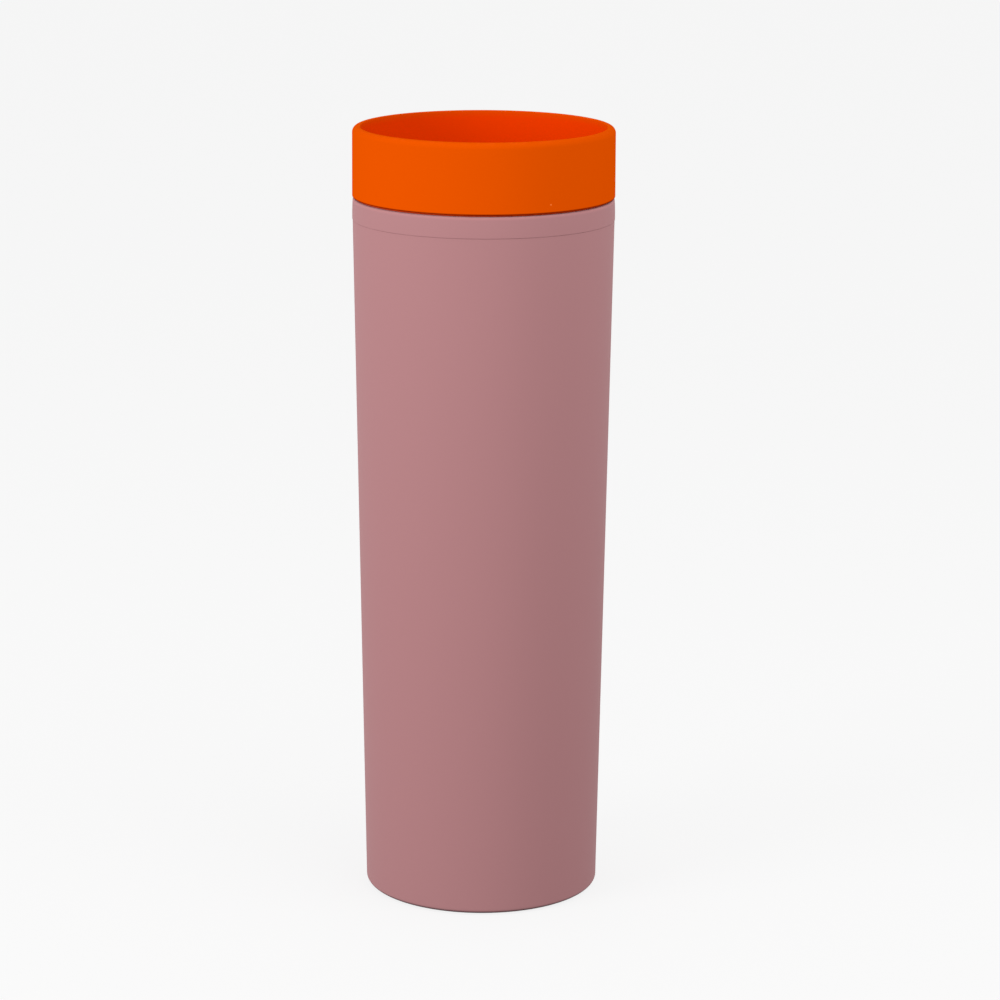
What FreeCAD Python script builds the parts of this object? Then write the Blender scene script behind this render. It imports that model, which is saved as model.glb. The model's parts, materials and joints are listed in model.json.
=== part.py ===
import FreeCAD, Part
import os
import re
import Sketcher

# Double-walled tumbler with a screw lid, in millimetres.
# +Z is up, the axis of the cup is the Z axis, and the foot stands on Z = 0.
# The cup is an outer shell and an inner liner with air between them, joined by a
# threaded mouth ring at the top and closed by a cap and a soft foot ring below.
# The lid is a ring with a sunk floor, a threaded plug and a stoppered straw hole.

SIZES = {
    # whole object
    "overall_height": 216.25,
    "seam_height": 190.8,
    "seat_height": 196.65,
    # outer shell
    "body_top_radius": 36.02,
    "body_foot_radius": 32.78,
    "shell_wall": 2.0,
    "foot_step": 0.15,
    "foot_corner": 1.5,
    "weld_gap": 0.05,
    # base cap, its ribs and the soft foot ring
    "cap_underside": 0.6,
    "cap_dish": 0.3,
    "cap_floor": 2.8,
    "cap_rim_top": 9.0,
    "cap_rib_count": 6,
    "cap_rib_wall": 1.6,
    "cap_rib_root": 0.3,
    "cap_land": 0.9,
    "foot_ring_inner": 24.0,
    "foot_ring_outer": 29.4,
    "foot_ring_height": 1.6,
    "foot_ring_gap": 0.05,
    "foot_ring_edge": 0.4,
    # inner liner
    "liner_bore_radius": 30.0,
    "liner_wall": 1.5,
    "liner_underside": 8.0,
    "liner_corner": 4.0,
    "liner_flare": 2.6,
    "flare_shift": 0.62,
    "liner_flange_radius": 33.7,
    "flange_rim": 1.05,
    # mouth ring
    "spigot_depth": 6.5,
    "mouth_bore_radius": 33.0,
    "band_low_radius": 36.12,
    "band_mid_radius": 36.16,
    "band_top_radius": 35.97,
    "band_mid_height": 2.6,
    "band_edge": 0.5,
    "mouth_lead_in": 0.5,
    # lid
    "lid_radius": 36.07,
    "lid_skirt_radius": 36.13,
    "lid_gap": 0.4,
    "lip_inner_radius": 33.85,
    "recess_radius": 33.3,
    "lip_outer_edge": 1.6,
    "lip_inner_edge": 0.25,
    "recess_corner": 1.5,
    "lid_skirt_edge": 0.35,
    "floor_underside": 1.8,
    "floor_top": 4.0,
    "plug_radius": 31.8,
    "plug_wall": 2.2,
    "plug_depth": 11.6,
    "plug_edge": 0.4,
    "groove_outer_radius": 34.6,
    "straw_hole_radius": 5.5,
    "vent_radius": 0.75,
    "vent_offset": 22.0,
    # lid gasket
    "gasket_gap": 0.2,
    # three-start screw thread
    "thread_lead": 12.0,
    "thread_starts": 3,
    "thread_sweep": 150.0,
    "ridge_height": 0.9,
    "ridge_root": 2.2,
    "ridge_crest": 1.0,
    "ridge_bed": 0.3,
    "ridge_depth": 8.3,
    "thread_bias": 0.25,
    # straw grommet and stopper
    "grommet_bore": 4.0,
    "grommet_flange": 7.0,
    "grommet_lip": 1.0,
    "grommet_gap": 0.1,
    "grommet_neck_gap": 0.05,
    "stopper_clearance": 0.05,
    "stopper_tip": 1.0,
    "stopper_head_radius": 6.2,
    "stopper_head": 1.45,
    "stopper_edge": 0.5,
    "tab_width": 9.6,
    "tab_wall": 2.2,
    "tab_height": 5.8,
    "tab_corner": 2.8,
}

DRAFT = "(body_top_radius - body_foot_radius) / seam_height"
GROMMET_TOP = "floor_top + grommet_gap + grommet_lip"
HEAD_TOP = f"{GROMMET_TOP} + stopper_clearance + stopper_head"


def body_radius(height):
    """Outer radius of the tapered body at a height, as a formula."""
    return f"(body_foot_radius + {DRAFT} * ({height}))"


def liner_radius(height):
    """Inner radius of the liner at a height: it tapers as the body does."""
    return f"(liner_bore_radius - {DRAFT} * (seam_height - spigot_depth - liner_flare - ({height})))"


def bound(formula):
    """A formula in plain dimension names, as an expression on the sheet."""
    return re.sub(r"[a-z][a-z_]+", lambda word: "Sizes." + word.group(), str(formula))


def value(formula):
    """The number that a formula has now."""
    return float(sheet.evalExpression(bound(formula)))


def new_body(name, rise=None):
    """A body with its own label, raised to a height where its outline starts from one."""
    body = doc.addObject("PartDesign::Body", name)
    body.Label = name
    body.Placement = FreeCAD.Placement()
    if rise:
        body.setExpression("Placement.Base.z", bound(rise))
    return body


def new_sketch(body, name, plane):
    """An empty sketch on one of the body's own origin planes."""
    sketch = body.newObject("Sketcher::SketchObject", name)
    found = [item for item in body.Origin.OriginFeatures if item.Role == plane]
    sketch.AttachmentSupport = [(found[0], "")]
    sketch.MapMode = "FlatFace"
    return sketch


def place_point(sketch, line, axis, formula):
    """Holds the start of a line at a distance along one axis of the sketch."""
    along_x = axis == "DistanceX"
    if str(formula) == "0":
        sketch.addConstraint(Sketcher.Constraint("PointOnObject", line, 1, -2 if along_x else -1))
        return
    rule = sketch.addConstraint(Sketcher.Constraint(axis, -1, 1, line, 1, value(formula)))
    sketch.setExpression(f"Constraints[{rule}]", bound(formula))


def outline(body, name, points):
    """A closed outline of straight lines on the XZ plane, its points (radius, height)."""
    sketch = new_sketch(body, name, "XZ_Plane")
    corners = [FreeCAD.Vector(value(radius), value(height), 0) for radius, height in points]
    count = len(corners)
    for index, corner in enumerate(corners):
        sketch.addGeometry(Part.LineSegment(corner, corners[(index + 1) % count]), False)
    for index, (radius, height) in enumerate(points):
        sketch.addConstraint(Sketcher.Constraint("Coincident", index, 2, (index + 1) % count, 1))
        place_point(sketch, index, "DistanceX", radius)
        place_point(sketch, index, "DistanceY", height)
    return sketch


def turned(body, name, points):
    """The solid that an outline makes when it is turned about the Z axis."""
    sketch = outline(body, name + "_outline", points)
    solid = body.newObject("PartDesign::Revolution", name)
    solid.Profile = sketch
    solid.ReferenceAxis = (sketch, ["V_Axis"])
    solid.Angle = 360
    doc.recompute()
    return solid


def round_edge(body, base, name, radius, height, size):
    """Rounds the circular edge that has that radius and height in the body's own frame."""
    found = []
    for number, edge in enumerate(base.Shape.Edges, 1):
        circle = edge.Curve
        if circle.TypeId != "Part::GeomCircle":
            continue
        off = abs(circle.Radius - value(radius)) + abs(circle.Center.z - value(height))
        if off < 1e-4:
            found.append(f"Edge{number}")
    if not found:
        raise ValueError(f"{body.Label}: no circular edge for {name}")
    fillet = body.newObject("PartDesign::Fillet", name)
    fillet.Base = (base, found)
    fillet.setExpression("Radius", bound(size))
    doc.recompute()
    return fillet


def repeat_round(body, name, feature, sketch, count):
    """Repeats a feature evenly about the Z axis and makes the result the body's tip."""
    pattern = body.newObject("PartDesign::PolarPattern", name)
    pattern.Originals = [feature]
    pattern.Axis = (sketch, ["V_Axis"])
    pattern.Angle = 360
    pattern.setExpression("Occurrences", bound(count))
    body.Tip = pattern
    doc.recompute()
    return pattern


def add_thread(body, wall_radius, middle, outward):
    """Helical ridges on a round wall: their middle line starts at the height given."""
    side = "+" if outward else "-"
    bed = f"{wall_radius} {'-' if outward else '+'} ridge_bed"
    crest = f"{wall_radius} {side} ridge_height"
    points = [
        (bed, f"{middle} - ridge_root / 2"),
        (wall_radius, f"{middle} - ridge_root / 2"),
        (crest, f"{middle} - ridge_crest / 2"),
        (crest, f"{middle} + ridge_crest / 2"),
        (wall_radius, f"{middle} + ridge_root / 2"),
        (bed, f"{middle} + ridge_root / 2"),
    ]
    sketch = outline(body, "ridge_outline", points)
    doc.recompute()
    ridge = body.newObject("PartDesign::AdditiveHelix", "ridge")
    ridge.Profile = sketch
    ridge.ReferenceAxis = (sketch, ["V_Axis"])
    ridge.Mode = "pitch-height-angle"
    ridge.setExpression("Pitch", bound("thread_lead"))
    ridge.setExpression("Height", bound("thread_lead * thread_sweep / 360"))
    ridge.LeftHanded = False
    ridge.Reversed = False
    doc.recompute()
    repeat_round(body, "ridges", ridge, sketch, "thread_starts")


def make_outer_shell():
    """The coloured outside wall, open at both ends, with a rounded foot."""
    body = new_body("outer_shell")
    foot = body_radius("foot_step")
    wall = turned(body, "wall", [
        (foot, "foot_step"),
        ("body_top_radius", "seam_height"),
        ("body_top_radius - shell_wall", "seam_height"),
        (f"{foot} - shell_wall", "foot_step"),
    ])
    round_edge(body, wall, "foot_corner", foot, "foot_step", "foot_corner")
    return body


def make_base_cap():
    """The disc that closes the shell from below, with ribs that carry the liner."""
    body = new_body("base_cap")
    low = f"{body_radius('cap_underside')} - shell_wall - weld_gap"
    high = f"{body_radius('cap_rim_top')} - shell_wall - weld_gap"
    land = "foot_ring_inner - cap_land"
    turned(body, "disc", [
        (0, "cap_underside + cap_dish"),
        (land, "cap_underside + cap_dish"),
        (land, "cap_underside"),
        ("foot_ring_inner", "cap_underside"),
        ("foot_ring_inner", "foot_ring_height"),
        ("foot_ring_outer", "foot_ring_height"),
        ("foot_ring_outer", "cap_underside"),
        (low, "cap_underside"),
        (high, "cap_rim_top"),
        ("foot_ring_outer", "cap_rim_top"),
        ("foot_ring_outer", "cap_floor"),
        (0, "cap_floor"),
    ])
    sketch = outline(body, "rib_outline", [
        (0, "cap_floor - cap_rib_root"),
        ("foot_ring_outer + cap_rib_root", "cap_floor - cap_rib_root"),
        ("foot_ring_outer + cap_rib_root", "liner_underside - weld_gap"),
        (0, "liner_underside - weld_gap"),
    ])
    doc.recompute()
    rib = body.newObject("PartDesign::Pad", "rib")
    rib.Profile = sketch
    rib.Midplane = True
    rib.setExpression("Length", bound("cap_rib_wall"))
    doc.recompute()
    repeat_round(body, "ribs", rib, sketch, "cap_rib_count")
    return body


def make_foot_ring():
    """The soft ring in the base cap's groove, which the cup stands on."""
    body = new_body("foot_ring")
    inner = "foot_ring_inner + foot_ring_gap"
    outer = "foot_ring_outer - foot_ring_gap"
    ring = turned(body, "ring", [
        (inner, 0),
        (outer, 0),
        (outer, "foot_ring_height"),
        (inner, "foot_ring_height"),
    ])
    eased = round_edge(body, ring, "outer_edge", outer, 0, "foot_ring_edge")
    round_edge(body, eased, "inner_edge", inner, 0, "foot_ring_edge")
    return body


def make_inner_liner():
    """The cup that holds the drink, with a flared flange that hangs from the mouth ring."""
    body = new_body("inner_liner")
    top = "seam_height - spigot_depth"
    flare_foot = f"{top} - liner_flare"
    outer_flare_foot = f"{flare_foot} - flare_shift"
    floor = "liner_underside + liner_wall"
    flare_root = f"{liner_radius(outer_flare_foot)} + liner_wall"
    foot_outer = f"{liner_radius('liner_underside')} + liner_wall"
    cup = turned(body, "cup", [
        (0, "liner_underside"),
        (foot_outer, "liner_underside"),
        (flare_root, outer_flare_foot),
        ("liner_flange_radius", f"{top} - flange_rim"),
        ("liner_flange_radius", top),
        ("liner_bore_radius + liner_flare", top),
        ("liner_bore_radius", flare_foot),
        (liner_radius(floor), floor),
        (0, floor),
    ])
    eased = round_edge(body, cup, "inner_corner", liner_radius(floor), floor, "liner_corner")
    round_edge(body, eased, "outer_corner", foot_outer, "liner_underside", "liner_corner + liner_wall")
    return body


def make_mouth_ring():
    """The band at the top of the body, its spigot inside the shell and its thread inside."""
    body = new_body("mouth_ring", rise="seam_height")
    bottom = "0 - spigot_depth"
    top = "seat_height - seam_height"
    low = f"{body_radius('seam_height - spigot_depth')} - shell_wall - weld_gap"
    high = "body_top_radius - shell_wall - weld_gap"
    ring = turned(body, "ring", [
        ("mouth_bore_radius", bottom),
        (low, bottom),
        (high, 0),
        ("band_low_radius", 0),
        ("band_mid_radius", "band_mid_height"),
        ("band_top_radius", top),
        ("mouth_bore_radius + mouth_lead_in", top),
        ("mouth_bore_radius", f"{top} - mouth_lead_in"),
    ])
    round_edge(body, ring, "band_edge", "band_top_radius", top, "band_edge")
    add_thread(body, "mouth_bore_radius", f"{top} - ridge_depth", outward=False)
    return body


def make_lid_shell():
    """The lid in one piece: rounded ring, sunk floor, gasket groove and threaded plug."""
    body = new_body("lid_shell", rise="seat_height")
    top = "overall_height - seat_height"
    plug_inner = "plug_radius - plug_wall"
    plug_bottom = "0 - plug_depth"
    solid = turned(body, "lid", [
        ("straw_hole_radius", "floor_underside"),
        (plug_inner, "floor_underside"),
        (plug_inner, plug_bottom),
        ("plug_radius", plug_bottom),
        ("plug_radius", "floor_underside"),
        ("groove_outer_radius", "floor_underside"),
        ("groove_outer_radius", "lid_gap"),
        ("lid_skirt_radius", "lid_gap"),
        ("lid_radius", top),
        ("lip_inner_radius", top),
        ("recess_radius", "floor_top"),
        ("straw_hole_radius", "floor_top"),
    ])
    edges = [
        ("lip_outer", "lid_radius", top, "lip_outer_edge"),
        ("lip_inner", "lip_inner_radius", top, "lip_inner_edge"),
        ("recess_foot", "recess_radius", "floor_top", "recess_corner"),
        ("skirt_foot", "lid_skirt_radius", "lid_gap", "lid_skirt_edge"),
        ("plug_outer", "plug_radius", plug_bottom, "plug_edge"),
        ("plug_inner", plug_inner, plug_bottom, "plug_edge"),
    ]
    for name, radius, height, size in edges:
        solid = round_edge(body, solid, name, radius, height, size)
    sketch = new_sketch(body, "vent_outline", "XY_Plane")
    centre = FreeCAD.Vector(0, value("vent_offset"), 0)
    sketch.addGeometry(Part.Circle(centre, FreeCAD.Vector(0, 0, 1), value("vent_radius")), False)
    sketch.addConstraint(Sketcher.Constraint("PointOnObject", 0, 3, -2))
    offset = sketch.addConstraint(Sketcher.Constraint("DistanceY", -1, 1, 0, 3, value("vent_offset")))
    sketch.setExpression(f"Constraints[{offset}]", bound("vent_offset"))
    size = sketch.addConstraint(Sketcher.Constraint("Radius", 0, value("vent_radius")))
    sketch.setExpression(f"Constraints[{size}]", bound("vent_radius"))
    doc.recompute()
    vent = body.newObject("PartDesign::Pocket", "vent")
    vent.Profile = sketch
    vent.Type = "ThroughAll"
    vent.Midplane = True
    doc.recompute()
    if vent.Shape.Volume >= solid.Shape.Volume:
        raise ValueError("the vent hole cuts nothing")
    add_thread(body, "plug_radius", "0 - ridge_depth - thread_lead / thread_starts / 2 + thread_bias", True)
    return body


def make_lid_gasket():
    """The flat silicone ring between the lid's groove and the mouth ring's top."""
    body = new_body("lid_gasket", rise="seat_height")
    inner = "plug_radius + gasket_gap"
    outer = "groove_outer_radius - gasket_gap"
    turned(body, "ring", [
        (inner, 0),
        (outer, 0),
        (outer, "floor_underside"),
        (inner, "floor_underside"),
    ])
    return body


def make_straw_grommet():
    """The silicone ring that clips into the lid's straw hole."""
    body = new_body("straw_grommet", rise="seat_height")
    under = "floor_underside - grommet_gap"
    over = "floor_top + grommet_gap"
    waist = "straw_hole_radius - grommet_neck_gap"
    turned(body, "ring", [
        ("grommet_bore", f"{under} - grommet_lip"),
        ("grommet_flange", f"{under} - grommet_lip"),
        ("grommet_flange", under),
        (waist, under),
        (waist, over),
        ("grommet_flange", over),
        ("grommet_flange", GROMMET_TOP),
        ("grommet_bore", GROMMET_TOP),
    ])
    return body


def make_straw_stopper():
    """The plug that closes the straw hole, with a pull tab that stays below the lip."""
    body = new_body("straw_stopper", rise="seat_height")
    stem = "grommet_bore - stopper_clearance"
    tip = "0 - stopper_tip"
    shoulder = f"{GROMMET_TOP} + stopper_clearance"
    pin = turned(body, "pin", [
        (0, tip),
        (stem, tip),
        (stem, shoulder),
        ("stopper_head_radius", shoulder),
        ("stopper_head_radius", HEAD_TOP),
        (0, HEAD_TOP),
    ])
    pin = round_edge(body, pin, "tip_edge", stem, tip, "stopper_edge")
    pin = round_edge(body, pin, "head_edge", "stopper_head_radius", HEAD_TOP, "stopper_edge")
    tab_top = f"{HEAD_TOP} + tab_height"
    sketch = outline(body, "tab_outline", [
        ("0 - tab_width / 2", f"{HEAD_TOP} - stopper_edge"),
        ("tab_width / 2", f"{HEAD_TOP} - stopper_edge"),
        ("tab_width / 2", f"{tab_top} - tab_corner"),
        ("tab_width / 2 - tab_corner", tab_top),
        ("tab_corner - tab_width / 2", tab_top),
        ("0 - tab_width / 2", f"{tab_top} - tab_corner"),
    ])
    doc.recompute()
    tab = body.newObject("PartDesign::Pad", "tab")
    tab.Profile = sketch
    tab.Midplane = True
    tab.setExpression("Length", bound("tab_wall"))
    doc.recompute()
    return body


doc = FreeCAD.newDocument("tumbler")
sheet = doc.addObject("Spreadsheet::Sheet", "Sizes")
for row, (alias, size) in enumerate(SIZES.items(), 1):
    sheet.set(f"A{row}", alias.replace("_", " "))
    sheet.set(f"B{row}", str(size))
    sheet.setAlias(f"B{row}", alias)
doc.recompute()

makers = [
    make_outer_shell,
    make_base_cap,
    make_foot_ring,
    make_inner_liner,
    make_mouth_ring,
    make_lid_shell,
    make_lid_gasket,
    make_straw_grommet,
    make_straw_stopper,
]
bodies = [make() for make in makers]
doc.recompute()

for item in doc.Objects:
    if "Invalid" in item.State or "Error" in item.State:
        raise RuntimeError(f"{item.Label} failed: {item.State}")
for body in bodies:
    if body.Shape.isNull() or not body.Shape.isValid() or len(body.Shape.Solids) != 1:
        raise RuntimeError(f"{body.Label} is not one valid solid")

os.makedirs("parts", exist_ok=True)
for body in bodies:
    body.Shape.exportStep(f"parts/{body.Label}.step")
    low = body.Shape.BoundBox.ZMin
    high = body.Shape.BoundBox.ZMax
    print(f"{body.Label}: {body.Shape.Volume:.0f} mm3, Z {low:.2f} to {high:.2f}")
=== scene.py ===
"""Looks of a double-walled tumbler with a screw lid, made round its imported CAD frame."""

import json
import math

import bmesh
import bpy
from bpy.props import FloatProperty, FloatVectorProperty, IntProperty, PointerProperty
from mathutils import Matrix, Vector


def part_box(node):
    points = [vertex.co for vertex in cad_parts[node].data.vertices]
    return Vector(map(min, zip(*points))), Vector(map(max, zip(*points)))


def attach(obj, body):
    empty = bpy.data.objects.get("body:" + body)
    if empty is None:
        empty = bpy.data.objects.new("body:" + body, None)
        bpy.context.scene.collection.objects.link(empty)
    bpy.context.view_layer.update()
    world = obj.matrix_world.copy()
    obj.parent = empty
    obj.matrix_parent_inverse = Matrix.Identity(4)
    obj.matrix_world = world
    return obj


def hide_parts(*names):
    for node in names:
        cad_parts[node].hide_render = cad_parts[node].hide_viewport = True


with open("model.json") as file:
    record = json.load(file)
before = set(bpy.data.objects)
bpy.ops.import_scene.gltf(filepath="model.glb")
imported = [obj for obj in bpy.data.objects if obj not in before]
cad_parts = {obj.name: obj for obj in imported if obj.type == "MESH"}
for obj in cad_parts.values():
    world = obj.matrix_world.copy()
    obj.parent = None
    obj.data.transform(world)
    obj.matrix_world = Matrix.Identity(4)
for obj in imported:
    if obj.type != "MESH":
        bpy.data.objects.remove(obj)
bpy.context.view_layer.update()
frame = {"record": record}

bl_info = {
    "name": "Screw-lid tumbler",
    "version": (1, 0, 0),
    "blender": (4, 5, 0),
    "location": "View3D > Sidebar > Tumbler",
    "description": "Makes the pieces, finishes and stage of a double-walled tumbler",
    "category": "Add Mesh",
}

MM = 0.001
TAU = 2 * math.pi
ARC_HANDLE = 0.5523  # share of the radius, for a cubic curve that follows a quarter circle
MERGE_GAP = 0.002 * MM
SHARP_ANGLE = math.radians(40)

# Sizes of the small features, in millimetres where nothing else is said.
WELD_GAP = 0.05  # between two pieces that are welded or pressed together
FINE_EDGE = 0.15  # roundings of moulded edges
EDGE = 0.2
SOFT_EDGE = 0.5
RIDGE_BED = 0.3  # how deep a thread's ridge is sunk into its wall
RIDGE_STEPS = 96  # faces along a ridge
RIDGE_RUN_OUT = 0.12  # share of a ridge over which it rises from its wall
FOOT_GROOVE = 24.0  # inner radius of the groove for the foot ring
FOOT_GROOVE_WALL = 0.9
CAP_DISH = 0.3  # rise of the base cap's underside inside the foot ring
CAP_FLOOR = 2.2
GATE_MARK = (1.6, 1.9, 0.25)  # inner and outer radius and depth of the moulding gate's mark
FLANGE = 1.05  # thickness of the liner's flange, with its weld
BEND_SHARE = 0.4142  # tangent of 22.5 degrees, keeps a wall's thickness round a 45-degree bend
BAND_INSET = 0.04  # of the mouth band at the seam
BAND_SWELL = (2.6, 2.2)  # height of the band's widest place over the seam, and its rounding
RIB_COUNT = 6
RIB_WIDTH = 1.6
RIB_ROOT = 0.3  # how deep a rib is sunk into the floor and wall of the base cap
VENT_RADIUS = 0.75
VENT_BEARING_RADIUS = 22  # from the lid's axis to the vent hole
DRILL_LENGTH = 6
STOPPER_STEM = 3.95
STOPPER_HEAD = 1.45  # thickness of the stopper's head
TAB_HALF_WIDTH = 4.8
TAB_THICKNESS = 2.2
TAB_CORNER = 3.0
TAB_EDGE = 0.45
TAB_ROOT = 0.5  # how deep the tab is sunk into the head
NICK_TURN = 30  # degrees to the right of the front
NICK_RISE = 2.7
NICK_CORE = 0.12
NICK_REACH = 0.32

# Noise features a metre.
CLOUD_SCALE = 28.0
SPECK_SCALE = 1500.0
GRAIN_SCALE = 3600.0
RUB_SCALE = 700.0
LID_RUB_SCALE = 600.0
SCRATCH_SCALE = (90.0, 90.0, 2600.0)
SCRATCH_PATCH_SCALE = 60.0

SENSOR_WIDTH = 36  # of the camera, in millimetres
FLOOR_HALF_WIDTH = 6  # in metres
FLOOR_DROP = 0.05 * MM  # keeps the floor just clear of the foot
LAMP_AIM = Vector((0, 0, 0.11))  # about the tumbler's middle
WHITE = (1, 1, 1, 1)


# ---------------------------------------------------------------- sizes read from the frame


class Extent:
    """A CAD node's largest radius and its lowest and highest level, in millimetres."""

    def __init__(self, node):
        low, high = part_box(node)
        self.radius = high.x / MM
        self.low = low.z / MM
        self.high = high.z / MM


SHELL = Extent("outer_shell")
BASE_CAP = Extent("base_cap")
FOOT_RING = Extent("foot_ring")
LINER = Extent("inner_liner")
MOUTH = Extent("mouth_ring")
LID = Extent("lid_shell")
GASKET = Extent("lid_gasket")
GROMMET = Extent("straw_grommet")
STOPPER = Extent("straw_stopper")


def number(name, description, amount, **limits):
    """A number property."""
    return FloatProperty(name=name, description=description, default=amount, **limits)


def length(name, description, size):
    """A length property whose default is given in millimetres."""
    return number(name, description, size * MM, unit="LENGTH", precision=5)


def colour(name, description, red, green, blue):
    """A colour property in linear light."""
    tint = (red, green, blue)
    return FloatVectorProperty(
        name=name, description=description, default=tint, subtype="COLOR", min=0, max=1
    )


def share(name, description, amount):
    """A property from 0 to 1."""
    return number(name, description, amount, min=0, max=1, subtype="FACTOR")


class TumblerSizes(bpy.types.PropertyGroup):
    """Wall thicknesses, roundings and thread of the tumbler."""

    steps: IntProperty(
        name="Steps round", description="Faces round each turned piece", default=192, min=24
    )
    shell_wall: length("Shell wall", "Thickness of the outer wall", 2.0)
    body_taper: number("Body taper", "Radius gained per height", 0.017007)
    foot_corner: length("Foot corner", "Rounding of the shell's foot", 1.5)
    seam_corner: length("Seam corner", "Rounding on both sides of the mouth band's seam", 0.15)
    liner_wall: length("Liner wall", "Thickness of the inner cup", 1.5)
    liner_bore: length("Liner bore", "Inner radius of the cup at its flare", 30.0)
    liner_flare: length("Liner flare", "Width and height of the flare at the top of the cup", 2.6)
    mouth_bore: length("Mouth bore", "Inner radius of the mouth ring", 33.0)
    band_rim: length("Band rim", "Outer radius of the mouth band at its top", 35.97)
    band_corner: length("Band corner", "Rounding of the mouth band's top", 0.55)
    lid_rim: length("Lid rim", "Outer radius of the lid at its lip", 36.07)
    lip_wall: length("Lip wall", "Thickness of the lid's lip", 2.22)
    recess_radius: length("Recess radius", "Inner radius of the lid at its floor", 33.3)
    skirt_rise: length("Skirt rise", "Gap between the mouth band and the lid", 0.4)
    seal_lip: length("Seal lip", "Thickness of the gasket's lip under the lid", 0.34)
    seal_setback: length("Seal setback", "How far the gasket's lip stays inside the lid", 0.85)
    floor_underside: length("Floor underside", "Lid floor's lower side above the mouth band", 1.8)
    floor_top: length("Floor top", "Lid floor's upper side above the mouth band", 4.0)
    plug_radius: length("Plug radius", "Outer radius of the threaded plug", 31.8)
    plug_wall: length("Plug wall", "Thickness of the threaded plug", 2.2)
    groove_radius: length("Groove radius", "Outer radius of the gasket's groove", 34.6)
    straw_hole: length("Straw hole", "Radius of the hole in the lid's floor", 5.5)
    thread_lead: length("Thread lead", "Rise of the thread in one turn", 12.0)
    thread_starts: IntProperty(
        name="Thread starts", description="Ridges that start evenly round the wall", default=3
    )
    thread_sweep: number(
        "Thread sweep", "Angle that one ridge covers", math.radians(150), subtype="ANGLE"
    )
    ridge_height: length("Ridge height", "How far a ridge stands out of its wall", 0.9)
    ridge_root: length("Ridge root", "Width of a ridge at its wall", 2.2)
    ridge_crest: length("Ridge crest", "Width of a ridge at its top", 1.0)
    ridge_depth: length("Ridge depth", "Start of the mouth's ridges below its top", 8.3)
    thread_bias: length("Thread bias", "Lift of the lid's ridges in the mouth's thread", 0.25)


class TumblerFinish(bpy.types.PropertyGroup):
    """Colours and roughnesses of the tumbler."""

    body: colour("Body", "Dusty pink of the shell and mouth band", 0.339, 0.163, 0.170)
    # Painted shade: the shell's pink is darkened towards the foot, standing in for light that falls
    # off downwards.
    body_lower_shade: colour("Body foot", "Pink that the shell has at its foot", 0.306, 0.145, 0.151)
    # Painted highlight: paler pink along the mouth band's top edge.
    band_edge_highlight: colour("Body edge", "Paler pink of the mouth band's top edge", 0.385, 0.178, 0.184)
    # Painted shadow: dark colour where the shell's foot turns under to the floor, standing in for
    # contact shadow.
    foot_contact_shadow: colour("Foot line", "Grime on the turn of the shell's foot", 0.055, 0.026, 0.030)
    lid: colour("Lid", "Orange of the screw lid", 0.580, 0.063, 0.0)
    # Painted light: a brighter, redder orange for the light bounced round inside the recess.
    lid_recess_bounce: colour("Lid inside", "Deeper orange of the sunk part", 0.64, 0.042, 0.0)
    # Painted shade: deep red standing in for the shade in the gap under the lid.
    lid_gap_shade: colour("Lid edge", "Deep red of the lid's lower edge, over the gap", 0.13, 0.002, 0.0)
    nick: colour("Nick", "Pale bare spot of a small nick in the lid", 0.75, 0.16, 0.03)
    liner: colour("Liner", "Warm white of the inner cup", 0.70, 0.66, 0.62)
    foot: colour("Foot", "Dark rubber of the foot ring", 0.085, 0.040, 0.047)
    silicone: colour("Silicone", "Orange silicone of the seals and stopper", 0.58, 0.045, 0.001)
    body_roughness: share("Body roughness", "Roughness of the soft pink plastic", 0.55)
    lid_roughness: share("Lid roughness", "Roughness of the orange plastic", 0.45)
    wear: share("Wear", "How much the edges are rubbed", 0.5)


class TumblerStage(bpy.types.PropertyGroup):
    """Camera, lights and floor."""

    camera_side: length("Camera side", "Camera to the right of the tumbler's axis", 4.885)
    camera_back: length("Camera back", "Camera in front of the tumbler's axis", 967.97)
    camera_height: length("Camera height", "Camera above the floor", 342.33)
    camera_pitch: number("Camera pitch", "Downward tilt of the camera", 0.2345, subtype="ANGLE")
    camera_roll: number("Camera roll", "Camera's own roll", 0.005, subtype="ANGLE")
    camera_lens: number("Lens", "Focal length in millimetres", 127.81)
    sky: number("Sky", "Strength of the even white surroundings", 0.89, min=0)
    key: number("Key", "Power of the soft light on the left, in watts", 7.9, min=0)
    fill: number("Fill", "Power of the soft light on the right, in watts", 1.5, min=0)
    glow: number("Glow", "Own light of the floor, a lit white table", 0.827, min=0)
    floor: colour("Floor", "What the floor's surface adds to its own light", 0.10, 0.10, 0.10)


# ---------------------------------------------------------------- nodes written as expressions


class Wire:
    """A node's output. Arithmetic on it adds Math nodes."""

    def __init__(self, graph, node, output):
        self.graph = graph
        self.node = node
        self.socket = node.outputs[output]

    def also(self, output):
        """Another output of the same node."""
        return Wire(self.graph, self.node, output)

    def math(self, operation, *values):
        """A Math node of any operation on this wire."""
        sockets = dict(enumerate((self, *values)))
        return self.graph.add("ShaderNodeMath", {"operation": operation}, sockets)

    def __add__(self, other):
        return self.math("ADD", other)

    def __sub__(self, other):
        return self.math("SUBTRACT", other)

    def __rsub__(self, other):
        return self.graph.add("ShaderNodeMath", {"operation": "SUBTRACT"}, {0: other, 1: self})

    def __mul__(self, other):
        return self.math("MULTIPLY", other)

    def __truediv__(self, other):
        return self.math("DIVIDE", other)

    __radd__ = __add__


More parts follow.
